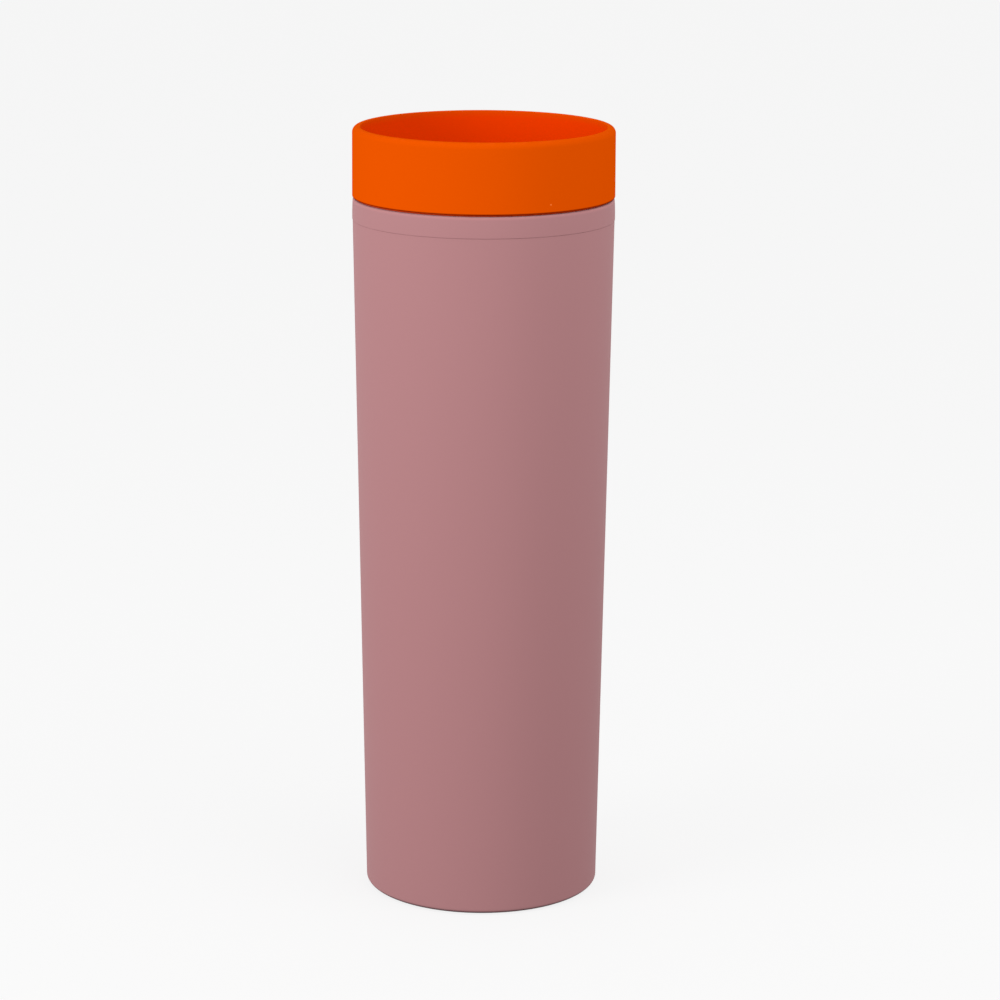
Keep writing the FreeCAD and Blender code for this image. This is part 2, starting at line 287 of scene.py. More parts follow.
class Graph:
    """A node tree that is filled by calls instead of by hand."""

    def __init__(self, tree):
        self.tree = tree
        self.tree.nodes.clear()

    def add(self, kind, settings=None, sockets=None, out=0):
        """Adds a node: its settings first, then the values or wires of its sockets."""
        node = self.tree.nodes.new(kind)
        for name, setting in (settings or {}).items():
            setattr(node, name, setting)
        for key, value in (sockets or {}).items():
            if isinstance(value, Wire):
                self.tree.links.new(value.socket, node.inputs[key])
            else:
                node.inputs[key].default_value = value
        return Wire(self, node, out)

    def end(self, kind, wire):
        """Adds the tree's output node and joins the wire to its first socket."""
        node = self.tree.nodes.new(kind)
        self.tree.links.new(wire.socket, node.inputs[0])

    def vector(self, operation, *values, out=0):
        """A Vector Math node."""
        sockets = dict(enumerate(values))
        return self.add("ShaderNodeVectorMath", {"operation": operation}, sockets, out)

    def scaled(self, vector, factor):
        """A vector times a number."""
        settings = {"operation": "SCALE"}
        return self.add("ShaderNodeVectorMath", settings, {0: vector, "Scale": factor})

    def mix(self, factor, first, second):
        """A mix of two colours."""
        settings = {"data_type": "RGBA", "clamp_factor": True}
        return self.add("ShaderNodeMix", settings, {0: factor, 6: first, 7: second}, 2)

    def ramp(self, value, low, high, smooth=True):
        """0 where the value is below low, 1 where it is above high."""
        settings = {"interpolation_type": "SMOOTHSTEP" if smooth else "LINEAR"}
        return self.add("ShaderNodeMapRange", settings, {0: value, 1: low, 2: high, 3: 0.0, 4: 1.0})

    def noise(self, place, scale, detail=2.0, roughness=0.5):
        """Noise from 0 to 1 with that many features a metre."""
        sockets = {"Vector": place, "Scale": scale, "Detail": detail, "Roughness": roughness}
        return self.add("ShaderNodeTexNoise", {}, sockets)


# ---------------------------------------------------------------- geometry trees


def new_tree(name, inputs):
    """An empty geometry tree with named inputs, and its Graph and group input."""
    tree = bpy.data.node_groups.new(name, "GeometryNodeTree")
    tree.interface.new_socket("Geometry", in_out="INPUT", socket_type="NodeSocketGeometry")
    for label, kind in inputs:
        tree.interface.new_socket(label, in_out="INPUT", socket_type="NodeSocket" + kind)
    tree.interface.new_socket("Geometry", in_out="OUTPUT", socket_type="NodeSocketGeometry")
    graph = Graph(tree)
    return tree, graph, graph.add("NodeGroupInput", out="Geometry")


def ring_of_copies(graph, shape, copies):
    """Copies of a shape, turned evenly about the Z axis and made real."""
    points = graph.add("GeometryNodePoints", {}, {"Count": copies})
    step = graph.add("GeometryNodeInputIndex") * TAU / copies
    turn = graph.add("ShaderNodeCombineXYZ", {}, {"Z": step})
    placed = graph.add(
        "GeometryNodeInstanceOnPoints", {}, {"Points": points, "Instance": shape, "Rotation": turn}
    )
    return graph.add("GeometryNodeRealizeInstances", {}, {"Geometry": placed})


def close_tree(graph, shape, material):
    """Ends a tree: smooth faces, then the material."""
    smooth = graph.add("GeometryNodeSetShadeSmooth", {}, {"Geometry": shape})
    done = graph.add("GeometryNodeSetMaterial", {}, {"Geometry": smooth, "Material": material})
    graph.end("NodeGroupOutput", done)


def make_turning_tree():
    """Turns an outline in the XZ plane about the Z axis: all round, or as helical ridges."""
    inputs = [
        ("Steps", "Int"), ("Sweep", "Float"), ("Rise", "Float"), ("Run-out", "Float"),
        ("All round", "Bool"), ("Copies", "Int"), ("Material", "Material"),
    ]
    tree, graph, given = new_tree("Turned outline", inputs)
    count = graph.add("GeometryNodeAttributeDomainSize", {}, {"Geometry": given}, "Point Count")
    grid = graph.add(
        "GeometryNodeMeshGrid", {},
        {
            "Size X": 1.0, "Size Y": 1.0,
            "Vertices X": given.also("Steps") + 1, "Vertices Y": count + 1,
        },
    )
    place = graph.add("GeometryNodeInputPosition")
    split = graph.add("ShaderNodeSeparateXYZ", {}, {0: place})
    turned_share = split + 0.5
    number = ((split.also("Y") + 0.5) * count).math("ROUND").math("MODULO", count)

    def corner(index):
        settings = {"data_type": "FLOAT_VECTOR", "domain": "POINT"}
        return graph.add(
            "GeometryNodeSampleIndex", settings, {"Geometry": given, "Value": place, "Index": index}
        )

    root = graph.scaled(graph.vector("ADD", corner(0), corner(count - 1)), 0.5)
    run_out = given.also("Run-out")
    ends = graph.ramp(turned_share, 0.0, run_out) * graph.ramp(1 - turned_share, 0.0, run_out)
    size = graph.add(
        "GeometryNodeSwitch", {"input_type": "FLOAT"},
        {"Switch": given.also("All round"), "False": ends, "True": 1.0},
    )
    arm = graph.vector("SUBTRACT", corner(number), root)
    reached = graph.vector("ADD", root, graph.scaled(arm, size))
    point = graph.add("ShaderNodeSeparateXYZ", {}, {0: reached})
    angle = turned_share * given.also("Sweep")
    spot = graph.add(
        "ShaderNodeCombineXYZ", {},
        {
            "X": point * angle.math("COSINE"),
            "Y": point * angle.math("SINE"),
            "Z": point.also("Z") + given.also("Rise") * angle / TAU,
        },
    )
    moved = graph.add("GeometryNodeSetPosition", {}, {"Geometry": grid, "Position": spot})
    merged = graph.add(
        "GeometryNodeMergeByDistance", {}, {"Geometry": moved, "Distance": MERGE_GAP}
    )
    close_tree(graph, ring_of_copies(graph, merged, given.also("Copies")), given.also("Material"))
    return tree


def make_ring_tree():
    """Repeats its shape evenly about the Z axis."""
    tree, graph, given = new_tree("Ring of copies", [("Copies", "Int"), ("Material", "Material")])
    close_tree(graph, ring_of_copies(graph, given, given.also("Copies")), given.also("Material"))
    return tree


def tree_named(name):
    """One of the two geometry trees, made when it is first asked for."""
    makers = {"Turned outline": make_turning_tree, "Ring of copies": make_ring_tree}
    return bpy.data.node_groups.get(name) or makers[name]()


def run_tree(mesh, tree_name, values):
    """The plain mesh that a geometry tree makes of a mesh."""
    tree = tree_named(tree_name)
    holder = bpy.data.objects.new("holder", mesh)
    bpy.context.scene.collection.objects.link(holder)
    modifier = holder.modifiers.new("tree", "NODES")
    modifier.node_group = tree
    for item in tree.interface.items_tree:
        if item.in_out == "INPUT" and item.name in values:
            modifier[item.identifier] = values[item.name]
    graph = bpy.context.evaluated_depsgraph_get()
    made = bpy.data.meshes.new_from_object(holder.evaluated_get(graph))
    bpy.data.objects.remove(holder)
    bpy.data.meshes.remove(mesh)
    return made


# ---------------------------------------------------------------- outlines


def along(start, end, reach):
    """The point that lies a reach from start on the way to end."""
    gap = math.dist(start, end)
    part = min(reach / gap, 1)
    return tuple(a + (b - a) * part for a, b in zip(start, end))


def curve_points(start, corner, end, steps):
    """A smooth blend from start to end that leaves and arrives on the lines to the corner."""
    first = along(start, corner, math.dist(start, corner) * ARC_HANDLE)
    second = along(end, corner, math.dist(end, corner) * ARC_HANDLE)
    points = []
    for step in range(steps + 1):
        t = step / steps
        weights = ((1 - t) ** 3, 3 * t * (1 - t) ** 2, 3 * t * t * (1 - t), t**3)
        ends = (start, first, second, end)
        points.append(tuple(sum(w * p[axis] for w, p in zip(weights, ends)) for axis in (0, 1)))
    return points


def outline(*corners, steps=8, guard=0.25):
    """A closed outline in millimetres.

    Each corner is (radius, height), then how far its rounding reaches back and forward along its
    two lines. Beside each rounding a guard point keeps the long faces evenly shaded."""
    count = len(corners)
    points = []
    for index, corner in enumerate(corners):
        here = corner[:2]
        back = corner[2] if len(corner) > 2 else 0
        forward = corner[3] if len(corner) > 3 else back
        before = corners[index - 1][:2]
        after = corners[(index + 1) % count][:2]
        if math.dist(before, here) > 4 * guard + back:
            points.append(along(here, before, back + guard))
        if back:
            first = along(here, before, back)
            last = along(here, after, forward)
            points += curve_points(first, here, last, steps)
        else:
            points.append(here)
        if math.dist(after, here) > 4 * guard + forward:
            points.append(along(here, after, forward + guard))
    return points


def outline_mesh(points):
    """A mesh of one closed loop of edges in the XZ plane, in metres."""
    mesh = bpy.data.meshes.new("outline")
    spots = [(radius * MM, 0, height * MM) for radius, height in points]
    edges = [(index, (index + 1) % len(spots)) for index in range(len(spots))]
    mesh.from_pydata(spots, edges, [])
    return mesh


def turned(points, material):
    """The mesh that a closed outline makes when it is turned all round the Z axis."""
    steps = bpy.context.scene.tumbler_sizes.steps
    values = {
        "Steps": steps, "Sweep": TAU, "Rise": 0.0, "Run-out": 0.1,
        "All round": True, "Copies": 1, "Material": material,
    }
    return run_tree(outline_mesh(points), "Turned outline", values)


def thread(wall, middle, outward, material):
    """The ridges of a screw thread on a wall, their middle line starting at a height."""
    sizes = bpy.context.scene.tumbler_sizes
    side = 1 if outward else -1
    bed = wall - side * RIDGE_BED
    crest = wall + side * sizes.ridge_height / MM
    root = sizes.ridge_root / MM / 2
    top = sizes.ridge_crest / MM / 2
    ease = 0.18
    corners = [
        (bed, middle - root),
        (wall, middle - root, EDGE),
        (crest, middle - top, ease),
        (crest, middle + top, ease),
        (wall, middle + root, EDGE),
        (bed, middle + root),
    ]
    values = {
        "Steps": RIDGE_STEPS, "Sweep": sizes.thread_sweep, "Rise": sizes.thread_lead,
        "Run-out": RIDGE_RUN_OUT, "All round": False, "Copies": sizes.thread_starts,
        "Material": material,
    }
    profile = outline(*corners, steps=3, guard=0.1)
    return run_tree(outline_mesh(profile), "Turned outline", values)


# ---------------------------------------------------------------- pieces


def mesh_from(shape, name):
    """A mesh made of a bmesh, which is then freed."""
    mesh = bpy.data.meshes.new(name)
    shape.to_mesh(mesh)
    shape.free()
    return mesh


def joined(*meshes):
    """One mesh of several closed meshes, each with its faces pointing out."""
    whole = bmesh.new()
    for mesh in meshes:
        part = bmesh.new()
        part.from_mesh(mesh)
        bmesh.ops.remove_doubles(part, verts=part.verts, dist=MERGE_GAP / 4)
        bmesh.ops.recalc_face_normals(part, faces=part.faces)
        part.to_mesh(mesh)
        part.free()
        whole.from_mesh(mesh)
        bpy.data.meshes.remove(mesh)
    return mesh_from(whole, "joined")


def add_piece(name, mesh, material, node):
    """Puts a finished mesh in the scene in place of its CAD node, riding on that node's body."""
    mesh.name = name
    mesh.materials.clear()
    mesh.materials.append(material)
    for face in mesh.polygons:
        face.material_index = 0
    mesh.shade_smooth()
    mesh.set_sharp_from_angle(angle=SHARP_ANGLE)
    piece = bpy.data.objects.new(name, mesh)
    bpy.context.scene.collection.objects.link(piece)
    bodies = frame["record"]["behaviour"]["bodies"]
    body = next(key for key, nodes in bodies.items() if node in nodes)
    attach(piece, body)
    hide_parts(node)
    return piece


def carved(mesh, cutter):
    """The mesh with a cutter's shape taken out of it."""
    holders = []
    for label, shape in (("solid", mesh), ("cutter", cutter)):
        holder = bpy.data.objects.new(label, shape)
        bpy.context.scene.collection.objects.link(holder)
        holders.append(holder)
    modifier = holders[0].modifiers.new("cut", "BOOLEAN")
    modifier.operation = "DIFFERENCE"
    modifier.solver = "EXACT"
    modifier.object = holders[1]
    graph = bpy.context.evaluated_depsgraph_get()
    made = bpy.data.meshes.new_from_object(holders[0].evaluated_get(graph))
    for holder in holders:
        bpy.data.objects.remove(holder)
    return made


# ---------------------------------------------------------------- finishes


def faded(tint, factor, lift=0.0):
    """A colour times a factor, with its alpha."""
    return tuple(min(1.0, part * factor + lift) for part in tint) + (1.0,)


def plastic(name, tint, roughness, grain=1.0, marks=None, layers=None, gloss=0.5):
    """A moulded plastic with mould grain, faint flow clouding and rubbed marks, made once.

    marks and layers are functions that take the graph and the object coordinates. The first gives
    a mask from 0 to 1 of where the surface is rubbed, the second gives pairs of such a mask and
    the colour that lies there."""
    known = bpy.data.materials.get(name)
    if known:
        return known
    material = bpy.data.materials.new(name)
    material.use_nodes = True
    graph = Graph(material.node_tree)
    place = graph.add("ShaderNodeTexCoord", out="Object")
    stretched = graph.add("ShaderNodeMapping", {}, {"Vector": place, "Scale": (1.0, 1.0, 0.35)})
    cloud = graph.noise(stretched, CLOUD_SCALE, detail=3.0)
    speck = graph.noise(place, SPECK_SCALE, roughness=0.6)
    fine = graph.noise(place, GRAIN_SCALE, detail=3.0, roughness=0.6)
    base = graph.mix(cloud * 0.7 + speck * 0.3, faded(tint, 0.975), faded(tint, 1.025))
    for mask, layer_tint in layers(graph, place) if layers else ():
        base = graph.mix(mask, base, (*layer_tint, 1.0))
    rough = roughness + (cloud - 0.5) * 0.08 + (speck - 0.5) * 0.06
    if marks:
        rubbed = marks(graph, place)
        base = graph.mix(rubbed * 0.6, base, faded(tint, 1.3, 0.01))
        rough = rough + rubbed * 0.08
    relief = fine * 0.7 + speck * 0.6
    bump = graph.add(
        "ShaderNodeBump", {},
        {"Strength": 0.35 * grain, "Distance": 0.012 * MM, "Height": relief},
    )
    shader = graph.add(
        "ShaderNodeBsdfPrincipled", {},
        {
            "Base Color": base, "Roughness": rough, "Normal": bump,
            "IOR": 1.47, "Specular IOR Level": gloss,
        },
    )
    graph.end("ShaderNodeOutputMaterial", shader)
    return material


def radius_of(graph, place):
    """The distance from the cup's axis."""
    return graph.vector("LENGTH", graph.vector("MULTIPLY", place, (1, 1, 0)), out="Value")


def height_of(graph, place):
    """The height above the floor."""
    return graph.add("ShaderNodeSeparateXYZ", {}, {0: place}, "Z")


def ramp_mm(graph, value, low, high):
    """A smooth ramp from 0 to 1 between two measures in millimetres."""
    return graph.ramp(value, low * MM, high * MM)


def round_band(graph, place, level, reach):
    """1 at a height, fading to 0 at a reach above and below it; both in millimetres."""
    gap = (height_of(graph, place) - level * MM).math("ABSOLUTE")
    return 1 - graph.ramp(gap, 0.0, reach * MM)


def scratches(graph, place, density):
    """Fine short scratches that run round the cup."""
    squeezed = graph.add("ShaderNodeMapping", {}, {"Vector": place, "Scale": SCRATCH_SCALE})
    streak = graph.noise(squeezed, 1.0, roughness=0.7)
    patch = graph.noise(place, SCRATCH_PATCH_SCALE)
    return graph.ramp(streak, 0.70 - 0.1 * density, 0.78) * graph.ramp(patch, 0.42, 0.62)


def body_marks(graph, place):
    """Rubbing near the shell's foot and on the mouth band's top edge."""
    wear = bpy.context.scene.tumbler_finish.wear
    foot = round_band(graph, place, SHELL.low, 7.0)
    top = round_band(graph, place, MOUTH.high, 0.7)
    broken = graph.ramp(graph.noise(place, RUB_SCALE, detail=3.0), 0.35, 0.75)
    return (scratches(graph, place, 0.6) * (foot + 0.12) + top * broken * 0.8) * wear


def body_layers(graph, place):
    """Painted shade: the pink deepens slightly from the mouth to the foot and is painted dark as
    contact shadow where it turns under; a painted highlight pales the mouth band's top edge.
    """
    finish = bpy.context.scene.tumbler_finish
    radius, height = radius_of(graph, place), height_of(graph, place)
    # Painted shade: darker towards the foot, where less light falls.
    lower = 1 - graph.ramp(height, 0.0, SHELL.high * MM, False)
    # Painted contact shadow on the turn of the foot, outside the base cap.
    turn = 1 - ramp_mm(graph, height, SHELL.low + 0.35, SHELL.low + 1.2)
    shell = ramp_mm(graph, radius, BASE_CAP.radius + 0.1, BASE_CAP.radius + 0.6)
    # Painted highlight along the mouth band's top edge.
    edge = round_band(graph, place, MOUTH.high - 0.35, 0.8)
    return (
        (lower, finish.body_lower_shade), (turn * shell, finish.foot_contact_shadow), (edge, finish.band_edge_highlight)
    )


def lid_layers(graph, place):
    """Painted light in the sunk part, a deeper and redder orange for light bounced there; painted
    shade in dark red at the lower edge over the gap; and one nick low in front.
    """
    finish = bpy.context.scene.tumbler_finish
    radius, height = radius_of(graph, place), height_of(graph, place)
    # Painted bounce light inside the sunk part.
    inside = 1 - ramp_mm(graph, radius, LID.radius - 2.25, LID.radius - 2.0)
    below = 1 - ramp_mm(graph, height, LID.high - 2.2, LID.high + 0.5)
    above = ramp_mm(graph, height, MOUTH.high + 2.4, MOUTH.high + 3.4)
    # Painted shade on the lid's lower outer edge, over the gap.
    outside = ramp_mm(graph, radius, LID.radius - 1.3, LID.radius - 1.1)
    edge = 1 - ramp_mm(graph, height, MOUTH.high + 0.45, MOUTH.high + 0.95)
    turn = math.radians(NICK_TURN)
    spot = Vector((math.sin(turn), -math.cos(turn), 0)) * LID.radius * MM
    spot.z = (MOUTH.high + NICK_RISE) * MM
    away = graph.vector("DISTANCE", place, tuple(spot), out="Value")
    nick = 1 - ramp_mm(graph, away, NICK_CORE, NICK_REACH)
    return (
        (inside * below * above, finish.lid_recess_bounce),
        (outside * edge, finish.lid_gap_shade),
        (nick, finish.nick),
    )


def lid_marks(graph, place):
    """Rubbing on the lid's lip and skirt edge."""
    wear = bpy.context.scene.tumbler_finish.wear
    lip = round_band(graph, place, LID.high, 0.8)
    skirt = round_band(graph, place, MOUTH.high, 0.8)
    broken = graph.ramp(graph.noise(place, LID_RUB_SCALE, detail=3.0), 0.40, 0.75)
    return (scratches(graph, place, 0.2) * 0.25 + (lip + skirt) * broken * 0.6) * wear


def silicone(name, tint):
    """Soft rubbery silicone: even, dull, with a faint dusty bloom."""
    return plastic(name, tint, 0.62, grain=0.6, gloss=0.08)


# ---------------------------------------------------------------- operators


class MakePiece(bpy.types.Operator):
    """Shared ways of the piece operators."""

    bl_options = {"REGISTER", "UNDO"}

    @staticmethod
    def mm(name):
        """A size property in millimetres."""
        return getattr(bpy.context.scene.tumbler_sizes, name) / MM

    @staticmethod
    def body_plastic():
        finish = bpy.context.scene.tumbler_finish
        return plastic(
            "soft_pink_plastic", finish.body, finish.body_roughness,
            marks=body_marks, layers=body_layers, gloss=0.06,
        )

    @staticmethod
    def lid_plastic():
        finish = bpy.context.scene.tumbler_finish
        return plastic(
            "orange_plastic", finish.lid, finish.lid_roughness,
            grain=0.7, marks=lid_marks, layers=lid_layers, gloss=0.0,
        )

    @staticmethod
    def soft_orange():
        return silicone("orange_silicone", bpy.context.scene.tumbler_finish.silicone)

    @staticmethod
    def body_radius(height):
        """Outer radius of the tapered shell at a height."""
        return SHELL.radius - bpy.context.scene.tumbler_sizes.body_taper * (SHELL.high - height)


class TUMBLER_OT_outer_shell(MakePiece):
    """Makes the coloured outside wall"""

    bl_idname = "tumbler.outer_shell"
    bl_label = "Outer shell"

    def execute(self, context):
        wall = self.mm("shell_wall")
        foot = self.body_radius(SHELL.low)
        material = self.body_plastic()
        points = outline(
            (foot, SHELL.low, self.mm("foot_corner")),
            (SHELL.radius, SHELL.high, self.mm("seam_corner")),
            (SHELL.radius - wall, SHELL.high, EDGE),
            (foot - wall, SHELL.low, FINE_EDGE),
            steps=12,
        )
        mesh = joined(turned(points, material))
        add_piece("shell_wall", mesh, material, "outer_shell")
        return {"FINISHED"}


class TUMBLER_OT_mouth_ring(MakePiece):
    """Makes the mouth band with its spigot and inner thread"""

    bl_idname = "tumbler.mouth_ring"
    bl_label = "Mouth ring"

    def execute(self, context):
        bore = self.mm("mouth_bore")
        seam = SHELL.high
        spigot = self.body_radius(MOUTH.low) - self.mm("shell_wall") - WELD_GAP
        shoulder = SHELL.radius - self.mm("shell_wall") - WELD_GAP
        swell, swell_corner = BAND_SWELL
        material = self.body_plastic()
        points = outline(
            (bore, MOUTH.low, 0.3),
            (spigot, MOUTH.low, 0.3),
            (shoulder, seam),
            (MOUTH.radius - BAND_INSET, seam, self.mm("seam_corner")),
            (MOUTH.radius, seam + swell, swell_corner),
            (self.mm("band_rim"), MOUTH.high, self.mm("band_corner")),
            (bore, MOUTH.high, SOFT_EDGE),
        )
        ridges = thread(bore, MOUTH.high - self.mm("ridge_depth"), False, material)
        mesh = joined(turned(points, material), ridges)
        add_piece("mouth_band", mesh, material, "mouth_ring")
        return {"FINISHED"}


class TUMBLER_OT_base(MakePiece):
    """Makes the base cap with its ribs, and the soft foot ring"""

    bl_idname = "tumbler.base"
    bl_label = "Base cap and foot ring"

    def execute(self, context):
        material = self.body_plastic()
        hub = FOOT_GROOVE - FOOT_GROOVE_WALL
        groove_out = FOOT_RING.radius + WELD_GAP
        roof = FOOT_RING.high
        dish = BASE_CAP.low + CAP_DISH
        floor = BASE_CAP.low + CAP_FLOOR
        mark_inner, mark_outer, mark_depth = GATE_MARK
        bottom = self.body_radius(BASE_CAP.low) - self.mm("shell_wall") - WELD_GAP
        points = outline(
            (0, dish + mark_depth),
            (mark_inner, dish + mark_depth, EDGE),
            (mark_outer, dish, EDGE),
            (hub, dish, FINE_EDGE),
            (hub, BASE_CAP.low, FINE_EDGE),
            (FOOT_GROOVE, BASE_CAP.low, FINE_EDGE),
            (FOOT_GROOVE, roof),
            (groove_out, roof),
            (groove_out, BASE_CAP.low, FINE_EDGE),
            (bottom, BASE_CAP.low, EDGE),
            (BASE_CAP.radius, BASE_CAP.high, EDGE),
            (groove_out, BASE_CAP.high, EDGE),
            (groove_out, floor, SOFT_EDGE),
            (0, floor),
            steps=5,
        )
        rib = bmesh.new()
        bmesh.ops.create_cube(rib, size=1)
        reach = groove_out + RIB_ROOT
        rise = LINER.low - WELD_GAP - floor + RIB_ROOT
        size = Matrix.Diagonal((reach * MM, RIB_WIDTH * MM, rise * MM, 1))
        middle = Vector((reach / 2, 0, floor - RIB_ROOT + rise / 2)) * MM
        bmesh.ops.transform(rib, matrix=Matrix.Translation(middle) @ size, verts=rib.verts)
        bmesh.ops.bevel(rib, geom=rib.edges[:], offset=EDGE * MM, segments=2, affect="EDGES")
        values = {"Copies": RIB_COUNT, "Material": material}
        ribs = run_tree(mesh_from(rib, "rib"), "Ring of copies", values)
        mesh = joined(turned(points, material), ribs)
        add_piece("bottom_cap", mesh, material, "base_cap")

        rubber = silicone("foot_rubber", context.scene.tumbler_finish.foot)
        inner = FOOT_GROOVE + WELD_GAP
        pad = outline(
            (inner, FOOT_RING.low, 0.4),
            (FOOT_RING.radius, FOOT_RING.low, 0.4),
            (FOOT_RING.radius, FOOT_RING.high, 0.1),
            (inner, FOOT_RING.high, 0.1),
            steps=5,
        )
        add_piece("foot_pad", joined(turned(pad, rubber)), rubber, "foot_ring")
        return {"FINISHED"}


class TUMBLER_OT_inner_liner(MakePiece):
    """Makes the inner cup that holds the drink"""

    bl_idname = "tumbler.inner_liner"
    bl_label = "Inner liner"

    def execute(self, context):
        finish = context.scene.tumbler_finish
        material = plastic("liner_plastic", finish.liner, 0.3, grain=0.3)
        taper = context.scene.tumbler_sizes.body_taper
        wall = self.mm("liner_wall")
        bore = self.mm("liner_bore")
        flare = self.mm("liner_flare")
        flare_foot = LINER.high - flare
        outer_foot = flare_foot - wall * BEND_SHARE
        floor = LINER.low + wall
        inner_low = bore - taper * (flare_foot - floor)
        outer_low = bore + wall - taper * (flare_foot - LINER.low)
        points = outline(
            (0, LINER.low),
            (outer_low, LINER.low, 5.5),
            (bore + wall, outer_foot, 0.8),
            (LINER.radius, LINER.high - FLANGE, 0.3),
            (LINER.radius, LINER.high),
            (bore + flare, LINER.high, 0.25),
            (bore, flare_foot, 1.2),
            (inner_low, floor, 4.0),
            (0, floor),
            steps=10,
        )
        mesh = joined(turned(points, material))
        add_piece("drink_liner", mesh, material, "inner_liner")
        return {"FINISHED"}


class TUMBLER_OT_lid_shell(MakePiece):
    """Makes the orange lid with its sunk floor, gasket groove and threaded plug"""

    bl_idname = "tumbler.lid_shell"
    bl_label = "Lid shell"

    def execute(self, context):
        material = self.lid_plastic()
        seat = MOUTH.high
        plug = self.mm("plug_radius")
        plug_inner = plug - self.mm("plug_wall")
        under = seat + self.mm("floor_underside")
        over = seat + self.mm("floor_top")
        skirt = seat + self.mm("skirt_rise")
        groove = self.mm("groove_radius")
        hole = self.mm("straw_hole")
        rim = self.mm("lid_rim")
        lip = self.mm("lip_wall")
        points = outline(
            (hole, under, FINE_EDGE),
            (plug_inner, under, 0.8),
            (plug_inner, LID.low, SOFT_EDGE),
            (plug, LID.low, SOFT_EDGE),
            (plug, under, FINE_EDGE),
            (groove, under, FINE_EDGE),
            (groove, skirt, FINE_EDGE),
            (LID.radius, skirt, 0.3),
            (rim, LID.high, 1.6),
            (rim - lip, LID.high, 0.25),
            (self.mm("recess_radius"), over, 1.5),
            (hole, over, FINE_EDGE),
            steps=10,
        )
        bias = self.mm("thread_bias")
        gap = self.mm("thread_lead") / context.scene.tumbler_sizes.thread_starts
        ridges = thread(plug, seat - self.mm("ridge_depth") - gap / 2 + bias, True, material)
        drill = bmesh.new()
        place = Matrix.Translation(Vector((0, VENT_BEARING_RADIUS, (under + over) / 2)) * MM)
        bmesh.ops.create_cone(
            drill, cap_ends=True, segments=32, radius1=VENT_RADIUS * MM,
            radius2=VENT_RADIUS * MM, depth=DRILL_LENGTH * MM, matrix=place,
        )
        solid = carved(joined(turned(points, material)), mesh_from(drill, "drill"))
        add_piece("screw_lid", joined(solid, ridges), material, "lid_shell")
        return {"FINISHED"}


class TUMBLER_OT_seals(MakePiece):
    """Makes the lid's gasket and the ring in the straw hole"""

    bl_idname = "tumbler.seals"
    bl_label = "Gasket and straw ring"

    def execute(self, context):
        material = self.soft_orange()
        inner = self.mm("plug_radius") + 0.2
        lip_radius = LID.radius - self.mm("seal_setback")
        lip_top = GASKET.low + self.mm("seal_lip")
        seal = outline(
            (inner, GASKET.low, 0.35),
            (lip_radius, GASKET.low, 0.1),
            (lip_radius, lip_top, 0.1),
            (GASKET.radius - WELD_GAP, lip_top),
            (GASKET.radius - WELD_GAP, GASKET.high, 0.35),
            (inner, GASKET.high, 0.35),
            steps=5,
        )
        mesh = joined(turned(seal, material))
        add_piece("lid_seal", mesh, material, "lid_gasket")

        bore = STOPPER_STEM + WELD_GAP
        waist = self.mm("straw_hole") - WELD_GAP
        under = GROMMET.low + 1.0
        over = GROMMET.high - 1.0
        ring = outline(
            (bore, GROMMET.low, 0.4),
            (GROMMET.radius, GROMMET.low, 0.45),
            (GROMMET.radius, under, EDGE),
            (waist, under, 0.1),
            (waist, over, 0.1),
            (GROMMET.radius, over, EDGE),
            (GROMMET.radius, GROMMET.high, 0.45),
            (bore, GROMMET.high, 0.3),
            steps=5,
        )
        mesh = joined(turned(ring, material))
        add_piece("straw_ring", mesh, material, "straw_grommet")
        return {"FINISHED"}


class TUMBLER_OT_straw_stopper(MakePiece):
    """Makes the stopper and its pull tab"""

    bl_idname = "tumbler.straw_stopper"
    bl_label = "Straw stopper"

    def execute(self, context):
        material = self.soft_orange()
        shoulder = GROMMET.high + WELD_GAP
        head = shoulder + STOPPER_HEAD
        pin = outline(
            (0, STOPPER.low),
            (STOPPER_STEM, STOPPER.low, SOFT_EDGE),
            (STOPPER_STEM, shoulder, EDGE),
            (STOPPER.radius, shoulder, EDGE),
            (STOPPER.radius, head, SOFT_EDGE),
            (0, head),
            steps=6,
        )
        tab = outline(
            (-TAB_HALF_WIDTH, head - TAB_ROOT),
            (TAB_HALF_WIDTH, head - TAB_ROOT),
            (TAB_HALF_WIDTH, STOPPER.high, TAB_CORNER),
            (-TAB_HALF_WIDTH, STOPPER.high, TAB_CORNER),
            steps=8,
        )
        shape = bmesh.new()
        front = -TAB_THICKNESS / 2
        loop = [shape.verts.new((x * MM, front * MM, z * MM)) for x, z in tab]
        face = shape.faces.new(loop)
        bmesh.ops.recalc_face_normals(shape, faces=[face])
        grown = bmesh.ops.extrude_face_region(shape, geom=[face])
        moved = [item for item in grown["geom"] if isinstance(item, bmesh.types.BMVert)]
        bmesh.ops.translate(shape, vec=(0, TAB_THICKNESS * MM, 0), verts=moved)
        bmesh.ops.recalc_face_normals(shape, faces=shape.faces)
        rims = [
            edge for edge in shape.edges
            if abs(edge.verts[0].co.y - edge.verts[1].co.y) < MERGE_GAP / 20
        ]
        bmesh.ops.bevel(
            shape, geom=rims, offset=TAB_EDGE * MM, segments=4, profile=0.5, affect="EDGES"
        )
        mesh = joined(turned(pin, material), mesh_from(shape, "fin"))
        add_piece("hole_stopper", mesh, material, "straw_stopper")
        return {"FINISHED"}


def area_light(name, bearing, distance, size, power):
    """A square soft light that points at the tumbler's middle.

    The bearing is in degrees to the right of the front, and up."""
    side, rise = (math.radians(angle) for angle in bearing)
    level = math.cos(rise)
    away = Vector((math.sin(side) * level, -math.cos(side) * level, math.sin(rise)))
    data = bpy.data.lights.new(name, "AREA")
    data.size = size
    data.energy = power
    lamp = bpy.data.objects.new(name, data)
    bpy.context.scene.collection.objects.link(lamp)
    lamp.location = away * distance + LAMP_AIM
    lamp.rotation_euler = away.to_track_quat("Z", "Y").to_euler()
    lamp.visible_camera = False


